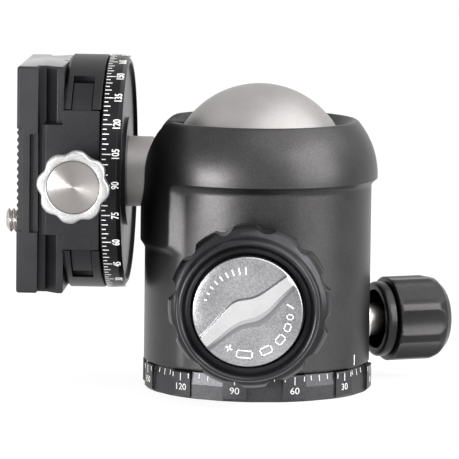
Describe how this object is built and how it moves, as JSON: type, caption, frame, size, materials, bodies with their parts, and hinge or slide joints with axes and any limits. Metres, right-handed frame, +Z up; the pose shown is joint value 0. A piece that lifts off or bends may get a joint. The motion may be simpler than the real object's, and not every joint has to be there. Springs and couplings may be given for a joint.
{
  "type": "tripod ball head",
  "caption": "Camera tripod ball head with panning base, drop notch, main lock knob with friction dial, pan lock knob and panning quick-release clamp with dovetail plate.",
  "frame": {"origin": "centre of the mouth of the 3/8 inch tripod thread, on the flat underside of the base", "axes": "+Z up along the panning axis; -X along the stem, which lies in the drop notch at rest; -Y along the main lock knob's axis, towards its dial"},
  "size_m": [0.1189, 0.0945, 0.088],
  "materials": {
    "housing_black": "black anodised, bead-blasted satin",
    "base_black": "black anodised, satin, white filled marks",
    "disc_black": "black anodised, turned, white filled marks",
    "clamp_black": "black anodised, satin",
    "plate_black": "black anodised, satin",
    "knob_black": "black anodised, smooth",
    "ball_grey": "hard anodised grey, polished",
    "dial_silver": "sandblasted, clear anodised",
    "knob_silver": "sandblasted, clear anodised",
    "spun_silver": "spun",
    "inner_aluminium": "turned",
    "steel": "turned and ground",
    "black_steel": "black oxide",
    "spring_steel": "drawn wire and stamped rings",
    "brass": "turned",
    "bearing_plastic": "acetal, turned",
    "rubber": "moulded, ribbed"
  },
  "bodies": {
    "base": {"base_plate": "base_black", "scale_ring": "base_black", "tripod_insert": "steel", "pan_drum": "inner_aluminium", "base_screws": "black_steel", "lower_washer": "bearing_plastic", "upper_washer": "bearing_plastic", "drum_clip": "spring_steel"},
    "housing": {"housing": "housing_black", "ball_seat": "bearing_plastic", "housing_floor": "inner_aluminium", "wedge_carrier": "inner_aluminium", "carrier_clip": "spring_steel", "main_bush": "steel", "pan_bush": "steel"},
    "pressure_cup": {"pressure_cup": "bearing_plastic"},
    "lock_wedge": {"lock_wedge": "steel"},
    "main_knob": {"main_knob": "knob_black", "main_spindle": "steel", "main_grub_screws": "black_steel", "detent_plunger": "steel", "detent_spring": "spring_steel"},
    "friction_dial": {"friction_dial": "dial_silver", "dial_shaft": "steel"},
    "pan_brake": {"pan_brake_pad": "brass"},
    "pan_knob": {"pan_knob": "knob_black", "pan_shaft": "steel", "pan_grub_screw": "black_steel"},
    "ball": {"ball_stem": "ball_grey", "pan_disc": "disc_black", "disc_bolt": "black_steel", "clamp_washer": "steel"},
    "clamp": {"clamp_body": "clamp_black", "jaw_springs": "spring_steel"},
    "moving_jaw": {"moving_jaw": "clamp_black", "jaw_pins": "steel"},
    "clamp_knob": {"clamp_knob": "knob_silver", "clamp_knob_cap": "spun_silver", "clamp_screw": "steel"},
    "clamp_brake": {"clamp_lock_pad": "brass"},
    "clamp_lock": {"clamp_lock_knob": "knob_black", "clamp_lock_shaft": "steel"},
    "plate": {"plate": "plate_black", "plate_pad": "rubber", "plate_stop_screws": "steel"},
    "camera_screw": {"camera_screw": "steel", "camera_screw_clip": "steel"}
  },
  "joints": [
    {"name": "head_pan", "type": "hinge", "parent": "base", "child": "housing", "pos_m": [0, 0, 0.0095], "axis": [0, 0, 1], "continuous": true},
    {"name": "ball_tilt", "type": "hinge", "parent": "housing", "child": "ball", "pos_m": [0, 0, 0.057], "axis": [0, 1, 0], "range_deg": [0, 128]},
    {"name": "cup_lift", "type": "slide", "parent": "housing", "child": "pressure_cup", "axis": [0, 0, 1], "range_m": [0, 0.0003395]},
    {"name": "wedge_slide", "type": "slide", "parent": "housing", "child": "lock_wedge", "axis": [0, 1, 0], "range_m": [0, 0.00113]},
    {"name": "main_knob_turn", "type": "hinge", "parent": "lock_wedge", "child": "main_knob", "pos_m": [0, -0.038, 0.0266], "axis": [0, 1, 0], "range_deg": [0, 270]},
    {"name": "friction_dial_turn", "type": "hinge", "parent": "main_knob", "child": "friction_dial", "pos_m": [0, -0.045, 0.0266], "axis": [0, 1, 0], "range_deg": [0, 270]},
    {"name": "pan_brake_slide", "type": "slide", "parent": "housing", "child": "pan_brake", "axis": [-0.9063, -0.4226, 0], "range_m": [0, 0.00092]},
    {"name": "pan_knob_turn", "type": "hinge", "parent": "pan_brake", "child": "pan_knob", "pos_m": [0.03807, 0.01775, 0.0165], "axis": [-0.9063, -0.4226, 0], "range_deg": [0, 330]},
    {"name": "clamp_pan", "type": "hinge", "parent": "ball", "child": "clamp", "pos_m": [-0.0453, 0, 0.057], "axis": [-1, 0, 0], "continuous": true},
    {"name": "jaw_slide", "type": "slide", "parent": "clamp", "child": "moving_jaw", "axis": [0, -1, 0], "range_m": [0, 0.0032]},
    {"name": "clamp_knob_turn", "type": "hinge", "parent": "moving_jaw", "child": "clamp_knob", "pos_m": [-0.046, -0.034, 0.057], "axis": [0, -1, 0], "range_deg": [0, 1440]},
    {"name": "clamp_brake_slide", "type": "slide", "parent": "clamp", "child": "clamp_brake", "axis": [0, -1, 0], "range_m": [0, 0.0006]},
    {"name": "clamp_lock_turn", "type": "hinge", "parent": "clamp_brake", "child": "clamp_lock", "pos_m": [-0.0432, 0.036, 0.057], "axis": [0, -1, 0], "range_deg": [0, 270]},
    {"name": "plate_slide", "type": "slide", "parent": "clamp", "child": "plate", "axis": [0, 0, 1], "range_m": [-0.008, 0.008]},
    {"name": "camera_screw_turn", "type": "hinge", "parent": "plate", "child": "camera_screw", "pos_m": [-0.06, 0, 0.0433], "axis": [-1, 0, 0], "continuous": true}
  ],
  "couplings": [
    {"joint": "wedge_slide", "follows": "main_knob_turn", "m_per_rad": 0.00023873},
    {"joint": "cup_lift", "follows": "main_knob_turn", "m_per_rad": 0.00007162},
    {"joint": "pan_knob_turn", "follows": "pan_brake_slide", "rad_per_m": 6260.4},
    {"joint": "clamp_knob_turn", "follows": "jaw_slide", "rad_per_m": 7853.9},
    {"joint": "clamp_lock_turn", "follows": "clamp_brake_slide", "rad_per_m": 7853.9}
  ]
}
